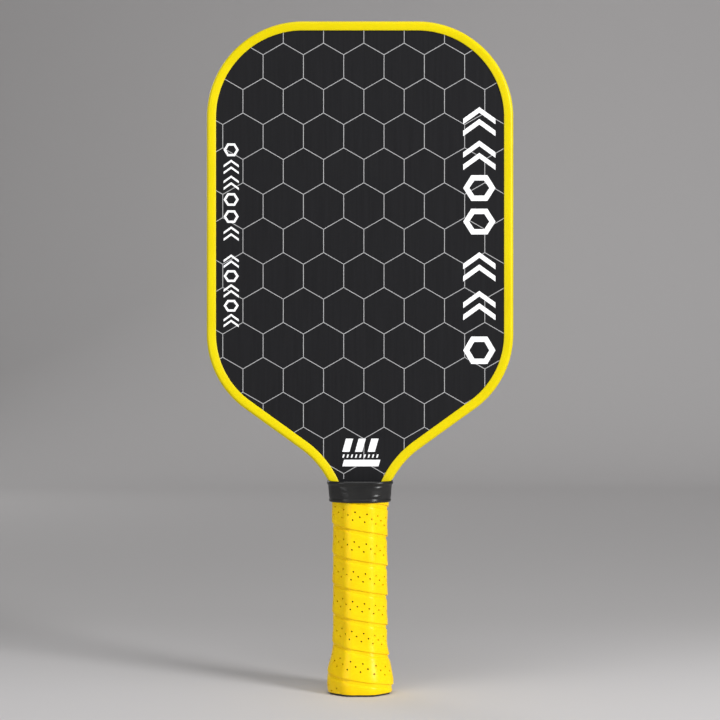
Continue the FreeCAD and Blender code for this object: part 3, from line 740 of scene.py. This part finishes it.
def stripPattern(name, punched):
    # one pattern of the flat strip: u along it in x, v across it in y, standing off in z
    length, width = strip["length"], strip["width"]
    radius, sides = strip["holeRadius"], strip["holeSides"]
    across = [0, 0.12, 0.3, 0.5, 0.9, 1.5, 2.4, 3.4, 3.9, 4.5, 5.6, 7.0, 8.4, 9.8, 11.2, 12.6, 13.3, 13.9,
              14.5, 15.0, 15.4, 15.7, 15.95, 16.1, 16.2, 16.9, 17.7, 18.5, 19.8, width]
    along = [length * i / 8 for i in range(9)]
    centres = []
    if punched:
        stepU, stepV = strip["holeStep"]
        centres = [Vector((length / 2 + k * stepU, strip["holeMiddle"] + k * stepV)) for k in (-1, 0, 1)]
    flat = [Vector((u, v)) for u in along for v in across]
    flat = [p for p in flat if all((p - c).length > radius * 1.35 for c in centres)]   # none at a rim
    edges = []
    for centre in centres:
        first = len(flat)
        flat += [centre + radius * Vector((math.cos(a), math.sin(a)))
                 for a in (2 * math.pi * i / sides for i in range(sides))]
        edges += [(first + i, first + (i + 1) % sides) for i in range(sides)]
    flat, _, cells, _, _, _ = delaunay_2d_cdt(flat, edges, [], 0, 1e-5)
    middles = [sum((flat[i] for i in cell), Vector((0, 0))) / len(cell) for cell in cells]
    cells = [cell for cell, middle in zip(cells, middles)
             if all((middle - c).length > radius * 0.97 for c in centres)]             # none in a hole
    count = len(flat)
    points = [(p.x, p.y, stripOuter(p.y)) for p in flat] + [(p.x, p.y, stripInner(p.y)) for p in flat]
    faces = [tuple(cell) for cell in cells] + [tuple(count + i for i in reversed(cell)) for cell in cells]
    borders = [(cell[i], cell[(i + 1) % len(cell)]) for cell in cells for i in range(len(cell))]
    shared = set(borders)
    for i, j in borders:
        onEnd = any(all(abs(flat[k].x - end) < 1e-4 for k in (i, j)) for end in (0, length))
        if (j, i) not in shared and not onEnd:
            faces.append((j, i, count + i, count + j))
    return newObject(name, points, faces)


def stripTree():
    tree, given = newTree("gripStrip", {"Plain": "Object", "Punched": "Object", "Plain Count": "Int",
                                        "Count": "Int", "Length": "Float", "Material": "Material"})
    offset = addNode(tree, "ShaderNodeCombineXYZ", {"X": given["Length"]})
    line = addNode(tree, "GeometryNodeMeshLine", {"Count": given["Count"], "Offset": offset.outputs[0]})
    plain = addNode(tree, "GeometryNodeObjectInfo", {"Object": given["Plain"], "As Instance": True})
    punched = addNode(tree, "GeometryNodeObjectInfo", {"Object": given["Punched"], "As Instance": True})
    either = addNode(tree, "GeometryNodeJoinGeometry", {"Geometry": punched.outputs["Geometry"]})
    tree.links.new(plain.outputs["Geometry"], either.inputs["Geometry"])
    index = addNode(tree, "GeometryNodeInputIndex")
    low = addNode(tree, "FunctionNodeCompare", {"A": index.outputs[0], "B": given["Plain Count"]},
                  data_type="INT", operation="LESS_THAN")
    pick = addNode(tree, "GeometryNodeSwitch", {"Switch": low.outputs[0], "False": 1, "True": 0},
                   input_type="INT")
    laid = addNode(tree, "GeometryNodeInstanceOnPoints", {
        "Points": line.outputs[0], "Instance": either.outputs[0], "Pick Instance": True,
        "Instance Index": pick.outputs[0]})
    real = addNode(tree, "GeometryNodeRealizeInstances", {"Geometry": laid.outputs[0]})
    welded = addNode(tree, "GeometryNodeMergeByDistance", {"Geometry": real.outputs[0],
                                                           "Distance": weldGap})
    endTree(tree, welded.outputs[0], given["Material"])
    return tree


def handleWalk():
    # stations round the handle from the front's middle: distance walked, arc centre and angle
    core = octagonCore(handle["halfWidth"], handle["halfDepth"], handle["chamfer"], handle["cornerRound"])
    standOff = 2.0           # about as far out as the strip's skin
    arc = (handle["cornerRound"] + standOff) * math.pi / 4
    stations = [(0.0, 0.0, core[0][1], -90)]
    for x, y, first in core + [(0.0, core[0][1], 270)]:
        flat = math.hypot(x - stations[-1][1], y - stations[-1][2])
        stations.append((stations[-1][0] + flat, x, y, first))
        stations.append((stations[-1][0] + arc, x, y, first + 45))
    return numpy.array(stations[:-1]).T


def cutAt(mesh, height, outwards):
    # trims the mesh at a height and closes the cut
    plane = bmesh.ops.bisect_plane(mesh, geom=mesh.verts[:] + mesh.edges[:] + mesh.faces[:], dist=1e-7,
                                   plane_co=(0, 0, height * mm), plane_no=(0, 0, outwards), clear_outer=True)
    rim = [e for e in plane["geom_cut"] if isinstance(e, bmesh.types.BMEdge) and e.is_boundary]
    bmesh.ops.triangle_fill(mesh, use_beauty=True, edges=rim)


def makeGrip():
    count = math.ceil(grip["turns"] * grip["patternsPerTurn"])
    plain, punched = stripPattern("plainPattern", False), stripPattern("punchedPattern", True)
    base = newObject("gripBase", [(0, 0, 0)], [])
    item = grow("grip_wrap_strip", base, stripTree(),
                {"Plain": plain, "Punched": punched, "Plain Count": grip["plainPatterns"], "Count": count,
                 "Length": strip["length"] * mm, "Material": gripYellow}, gripYellow, 40)
    for pattern in (plain, punched):
        bpy.data.objects.remove(pattern)
    walked, coreX, coreY, angles = handleWalk()
    perTurn = grip["patternsPerTurn"] * strip["length"]
    middle = (strip["lipEnd"] + grip["pitch"]) / 2
    start = grip["grooveHeight"] - middle - grip["pitch"]
    for vertex in item.data.vertices:
        u, v, stand = vertex.co / mm
        turn = u / perTurn
        at = (-turn % 1) * walked[-1]
        angle = math.radians(numpy.interp(at, walked, angles))
        leftness = max(0.0, -math.cos(angle))
        rise = v + grip["slip"] * leftness * smoothStep(v, *strip["slipAcross"])
        z = start + grip["pitch"] * turn + rise
        reach = handle["cornerRound"] + gripGrowth(min(max(z, grip["low"]), grip["high"])) + stand
        vertex.co = Vector((numpy.interp(at, walked, coreX) + reach * math.cos(angle),
                            numpy.interp(at, walked, coreY) + reach * math.sin(angle), z)) * mm
    mesh = bmesh.new()
    mesh.from_mesh(item.data)
    cutAt(mesh, grip["low"], -1)
    cutAt(mesh, grip["high"], 1)
    bmesh.ops.recalc_face_normals(mesh, faces=mesh.faces)
    mesh.to_mesh(item.data)
    mesh.free()
    item.data.set_sharp_from_angle(angle=math.radians(grip["smoothAngle"]))
    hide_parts("grip_wrap")
    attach(item, "paddle")


makeGrip()
print("stage: grip wound")


cushion = {
    "outside": 0.01,       # below the strip's underside
    "inside": 1.0,
    "heights": (1.45, 2.2, 3.2, 4.5, 6, 9, 12, 16, 20, 24, 28, 32, 50, 70, 90, 104, 108, 112, 115.9),
}

tapeBand = {
    "low": 119.45,
    "high": 123.6,
    "edge": 0.05,
    "outside": 2.94,       # how far it stands off the octagon
    "edgeOutside": 2.7,
    "inside": 2.46,
}


def makeCushion():
    heights = cushion["heights"]
    outer = [handleRing(z, gripGrowth(z) - grip["thick"] - cushion["outside"]) for z in heights]
    inner = [handleRing(z, gripGrowth(z) - grip["thick"] - cushion["inside"]) for z in heights]
    item = loft("grip_cushion_sleeve", outer + inner[::-1], feltPaintedShade)
    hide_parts("grip_cushion")
    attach(item, "paddle")


def makeTapeBand():
    # two layers of cloth tape round the top of the strip, under the collar
    low, high, edge = tapeBand["low"], tapeBand["high"], tapeBand["edge"]
    rim, skin, inside = tapeBand["edgeOutside"], tapeBand["outside"], tapeBand["inside"]
    stations = ((low, rim), (low + edge, skin), (high - edge, skin), (high, rim),
                (high, inside), (low, inside))
    item = loft("finishing_tape_band", [handleRing(z, growth) for z, growth in stations], tapeBlack)
    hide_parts("finishing_tape")
    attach(item, "paddle")


makeCushion()
makeTapeBand()


# The collar is a rubber ring with a rolled lip at either end.
collar = {
    "outer": ((119.3, 18.5), (119.37, 18.8), (119.6, 19.08), (119.95, 19.26), (120.35, 19.34), (120.8, 19.3),
              (121.15, 19.16), (121.45, 19.04), (121.8, 19.08), (122.6, 19.2), (123.5, 19.32), (124.5, 19.42),
              (126, 19.52), (127.6, 19.64), (128.8, 19.74), (129.4, 19.78), (129.8, 19.86), (130.1, 20.02),
              (130.4, 20.26), (130.8, 20.5), (131.2, 20.6), (131.7, 20.58), (132.1, 20.42), (132.4, 20.16),
              (132.57, 20.0), (132.6, 19.88)),
    "bore": ((132.52, 19.62), (131.5, 19.5), (130, 19.25), (125, 18.5), (122, 18.3), (119.3, 18.2)),
    "outerDepth": 17.7,
    "boreDepth": 16.5,
    "outerChamfer": (10.85, 7.9),      # at the low end and at the high end
    "boreChamfer": (10.15, 7.2),
    "taperHeights": (118.0, 132.6),
    "taperHalf": (19.35, 20.6),        # the plain taper that the depth and the chamfer follow
    "fadeIn": (121.0, 122.2),          # waves and folds start here
    "fadeOut": (129.4, 130.4),         # and end here, so both lips stay even
    "cornerRound": 10.5,
    "boreRound": 9.2,
    "waves": 0.05,                     # the rubber is stretched a little unevenly
    "folds": ((-58, 123.2, 0.035, 17, 0.6, 0.34), (-50, 128.6, 0.03, 15, 0.7, 0.3),
              (-118, 127.2, -0.09, 22, 0.9, 0.16), (-75, 125.0, 0.12, 25, 1.2, 0.12),
              (60, 122.4, 0.04, 20, 0.6, 0.25), (120, 128.0, -0.04, 20, 0.8, 0.22)),
}   # each fold: angle, height, rise per degree, half-length, half-width and swell


def collarRing(z, halfWidth, straight, depth, chamfers, cornerRound):
    swell = halfWidth - straight
    chamfer = numpy.interp(z, collar["taperHeights"], chamfers) + (2 - math.sqrt(2)) * swell
    return octagonRing(z, halfWidth, depth + swell, chamfer, cornerRound, 10)


def collarSwell(turn, z):
    # stretch waves and soft folds, fading out at both lips
    degrees, above = math.degrees(turn), z - collar["taperHeights"][0]
    swell = math.sin(3 * turn + 0.5 * above) + math.sin(7 * turn - 0.9 * above + 1.3)
    swell *= collar["waves"] / 2
    for middle, height, rise, reach, width, lift in collar["folds"]:
        along = (degrees - middle + 180) % 360 - 180
        off = (z - height - rise * along) / width
        swell += lift * math.exp(-(along / reach) ** 2 - off ** 2)
    return swell * smoothStep(z, *collar["fadeIn"]) * (1 - smoothStep(z, *collar["fadeOut"]))


def makeCollar():
    heights, widths = zip(*collar["outer"])
    dense = sorted(set(heights) | {122.0 + 0.4 * i for i in range(19)})     # more rings for the folds
    rings = []
    for z in dense:
        halfWidth = numpy.interp(z, heights, widths)
        straight = numpy.interp(z, collar["taperHeights"], collar["taperHalf"])
        ring = collarRing(z, halfWidth, straight, collar["outerDepth"], collar["outerChamfer"],
                          collar["cornerRound"])
        swollen = []
        for x, y, height in ring:
            scale = 1 + collarSwell(math.atan2(y, x), z) / math.hypot(x, y)
            swollen.append((x * scale, y * scale, height))
        rings.append(swollen)
    for z, halfWidth in collar["bore"]:
        rings.append(collarRing(z, halfWidth, halfWidth, collar["boreDepth"], collar["boreChamfer"],
                                collar["boreRound"]))
    item = loft("collar_rubber_ring", rings, rubber, smoothAngle=50)
    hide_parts("collar")
    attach(item, "collar")


makeCollar()
print("stage: cushion and collar lofted")


# Finishes for the parts that keep their designed shape, shown or inside.
finishes = {
    "front_skin": carbon, "rear_skin": carbon, "honeycomb_core": coreWhite, "perimeter_foam": foamCream,
    "edge_guard": guardYellow, "edge_tape": tapeBlack, "grip_wrap": gripYellow, "grip_cushion": feltPaintedShade,
    "front_pallet": palletGrey, "rear_pallet": palletGrey, "finishing_tape": tapeBlack, "collar": rubber,
    "butt_cap": capBlack, "butt_badge": badgeGrey, "butt_staples": wireSteel,
}
for nodeName, material in finishes.items():
    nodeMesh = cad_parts[nodeName].data
    nodeMesh.materials.clear()
    nodeMesh.materials.append(material)
print("stage: designed parts finished")


# The studio is one pale sheet for floor and wall, a low key light from the right and soft fill.
studio = {
    "floor": "#CAC8C9",
    # painted shade: the darker band where the floor meets the wall
    "shade": "#B0AEAE",
    # the wall tone is raised as painted light, making up for the light that falls off towards it
    "wall": "#C7C5C5",
    "toneSpan": (-0.1, 2.4),             # metres of depth from the floor's tone to the wall's
    "shadeAt": 0.2,                      # where in that span the band of painted shade lies
    "paintedLightSpan": (-0.8, 0.8),            # metres from left to right
    "paintedLightValue": (0.88, 1.3),           # and how much painted light lightens the tone between them
    "floorStops": (-3.0, -1.0),          # metres, as are the sizes of the sheet below
    "flatTo": 1.9,
    "curve": 0.7,
    "curveSteps": 24,
    "sheetHalf": 4.0,
    "sheetTop": 3.0,
    "cameraDistance": 1.2,
    "cameraHeight": 0.20745,
    "lens": 96.1,
    "lights": {                          # place, size, watts, spread in degrees
        "keyLight": ((1.75, -1.6, 0.85), 0.75, 14.8, 95),
        "fillLight": ((-1.1, -1.3, 0.35), 1.2, 9.0, 180),
        "topLight": ((0.0, -0.6, 1.5), 1.0, 6.0, 180),
        "rearLight": ((-1.2, 1.7, 0.9), 1.2, 7.0, 180),
    },
    "aim": (0.0, 0.0, 0.2),
    "ambient": 0.28,
}


def paperSheet():
    # Matt seamless paper whose colour holds painted light: pale in front, a band of painted shade further
    # back, a wall tone raised as painted light, and lighter to the right as painted light.
    material, tree, surface, place = newMaterial("seamlessPaper", studio["shade"], 0.9, IOR=1.4)
    spot = addNode(tree, "ShaderNodeSeparateXYZ", {0: place})
    near, far = studio["toneSpan"]
    back = addNode(tree, "ShaderNodeMapRange", {"Value": spot.outputs["Y"], "From Min": near,
                                                "From Max": far})
    # floor tone, then the band of painted shade, then the wall tone raised as painted light
    ramp = addNode(tree, "ShaderNodeValToRGB", {"Fac": back.outputs["Result"]})
    ramp.color_ramp.interpolation = "EASE"
    ramp.color_ramp.elements.new(studio["shadeAt"])
    places = (0.0, studio["shadeAt"], 1.0)
    for stop, at, tone in zip(ramp.color_ramp.elements, places, ("floor", "shade", "wall")):
        stop.position = at
        stop.color = linear(studio[tone])
    left, right = studio["paintedLightSpan"]
    darker, lighter = studio["paintedLightValue"]
    # painted light: the paper grows lighter towards the right, the key light's side
    paintedSideLight = addNode(tree, "ShaderNodeMapRange", {"Value": spot.outputs["X"], "From Min": left,
                                                 "From Max": right, "To Min": darker, "To Max": lighter})
    shaded = addNode(tree, "ShaderNodeHueSaturation", {"Color": ramp.outputs["Color"],
                                                       "Value": paintedSideLight.outputs["Result"]})
    tree.links.new(shaded.outputs["Color"], surface.inputs["Base Color"])
    emboss(tree, surface, [(blotches(tree, place, 1.0), 0.02)])
    return material


def makeStudio():
    flat, radius, steps = studio["flatTo"], studio["curve"], studio["curveSteps"]
    side = [(y, 0.0) for y in (*studio["floorStops"], flat)]
    side += [(flat + radius * math.sin(a), radius - radius * math.cos(a))
             for a in (math.pi / 2 * i / steps for i in range(1, steps + 1))]
    side.append((flat + radius, studio["sheetTop"]))
    half = studio["sheetHalf"]
    points = [(x / mm, y / mm, z / mm) for x in (-half, half) for y, z in side]
    count = len(side)
    faces = [(i, i + 1, count + i + 1, count + i) for i in range(count - 1)]
    sheet = newObject("seamless_sheet", points, faces, paperSheet(), 60)
    for name, (place, size, watts, spread) in studio["lights"].items():
        light = bpy.data.lights.new(name, "AREA")
        light.shape = "DISK"
        light.size = size
        light.energy = watts
        light.spread = math.radians(spread)
        holder = bpy.data.objects.new(name, light)
        holder.location = place
        holder.rotation_euler = (Vector(studio["aim"]) - Vector(place)).to_track_quat("-Z", "Y").to_euler()
        scene.collection.objects.link(holder)
    world = bpy.data.worlds.new("studioAmbient")
    world.use_nodes = True
    ambient = world.node_tree.nodes["Background"]
    ambient.inputs["Color"].default_value = (1, 1, 1, 1)
    ambient.inputs["Strength"].default_value = studio["ambient"]
    scene.world = world
    camera = bpy.data.cameras.new("studioCamera")
    camera.lens = studio["lens"]
    camera.sensor_width = 36.0
    camera.clip_start = 0.01
    holder = bpy.data.objects.new("studioCamera", camera)
    holder.location = (0.0, -studio["cameraDistance"], studio["cameraHeight"])
    holder.rotation_euler = (math.pi / 2, 0, 0)
    scene.collection.objects.link(holder)
    scene.camera = holder
    scene.view_settings.view_transform = "Standard"


makeStudio()
print("stage: studio set")
